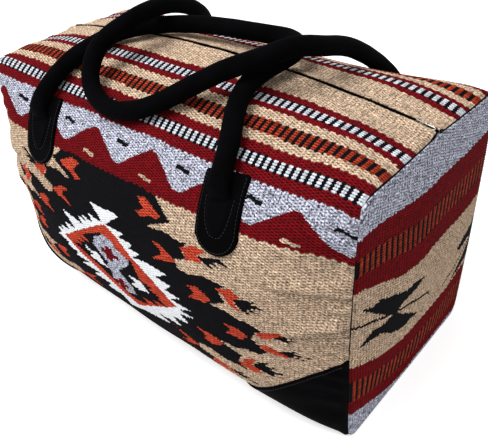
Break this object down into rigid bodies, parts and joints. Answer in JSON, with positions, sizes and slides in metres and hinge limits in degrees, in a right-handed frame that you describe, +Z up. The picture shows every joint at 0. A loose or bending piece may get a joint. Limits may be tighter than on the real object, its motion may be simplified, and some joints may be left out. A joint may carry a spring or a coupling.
{
  "type": "duffle bag",
  "caption": "Soft rectangular duffle bag of patterned hand-woven cloth, with a zip along the top and two rolled suede carrying handles.",
  "frame": {"origin": "middle of the base, on the surface the bag stands on", "axes": "+X along the bag towards the end where the zip slider rests when closed, -Y towards the front, +Z up"},
  "size_m": [0.544, 0.3548, 0.3727],
  "materials": {
    "woven_cloth": "matte",
    "black_suede": "napped",
    "zip_tape": "matte",
    "zip_coil": "satin",
    "nickel": "polished"
  },
  "bodies": {
    "bag": {"front_panel": "woven_cloth", "back_panel": "woven_cloth", "end_panel_left": "woven_cloth", "end_panel_right": "woven_cloth", "base_panel": "black_suede", "corner_patch_front_left": "black_suede", "corner_patch_front_right": "black_suede", "corner_patch_back_left": "black_suede", "corner_patch_back_right": "black_suede", "front_handle_tab_left": "black_suede", "front_handle_tab_right": "black_suede", "back_handle_tab_left": "black_suede", "back_handle_tab_right": "black_suede", "zipper_tape_front": "zip_tape", "zipper_tape_back": "zip_tape", "zipper_chain_front": "zip_coil", "zipper_chain_back": "zip_coil", "zipper_stop_left": "nickel", "zipper_stop_right": "nickel"},
    "slider": {"zipper_slider": "nickel"},
    "pull": {"zipper_pull": "nickel"},
    "handle_back": {"back_handle": "black_suede"},
    "handle_front": {"front_handle": "black_suede"}
  },
  "joints": [
    {"name": "zip_travel", "type": "hinge", "parent": "bag", "child": "slider", "pos_m": [0, 0, -1.29731], "axis": [0, -1, 0], "range_deg": [0, 17.36]},
    {"name": "pull_flip", "type": "hinge", "parent": "slider", "child": "pull", "pos_m": [0.24533, 0, 0.30948], "axis": [0, -1, 0], "range_deg": [0, 180]},
    {"name": "back_handle_swing", "type": "hinge", "parent": "bag", "child": "handle_back", "pos_m": [0, 0.14289, 0.27539], "axis": [-1, 0, 0], "range_deg": [0, 145]},
    {"name": "front_handle_swing", "type": "hinge", "parent": "bag", "child": "handle_front", "pos_m": [0, -0.14289, 0.27539], "axis": [1, 0, 0], "range_deg": [0, 116]}
  ],
  "couplings": [
    {"joint": "front_handle_swing", "follows": "back_handle_swing", "ratio": 0.8}
  ]
}
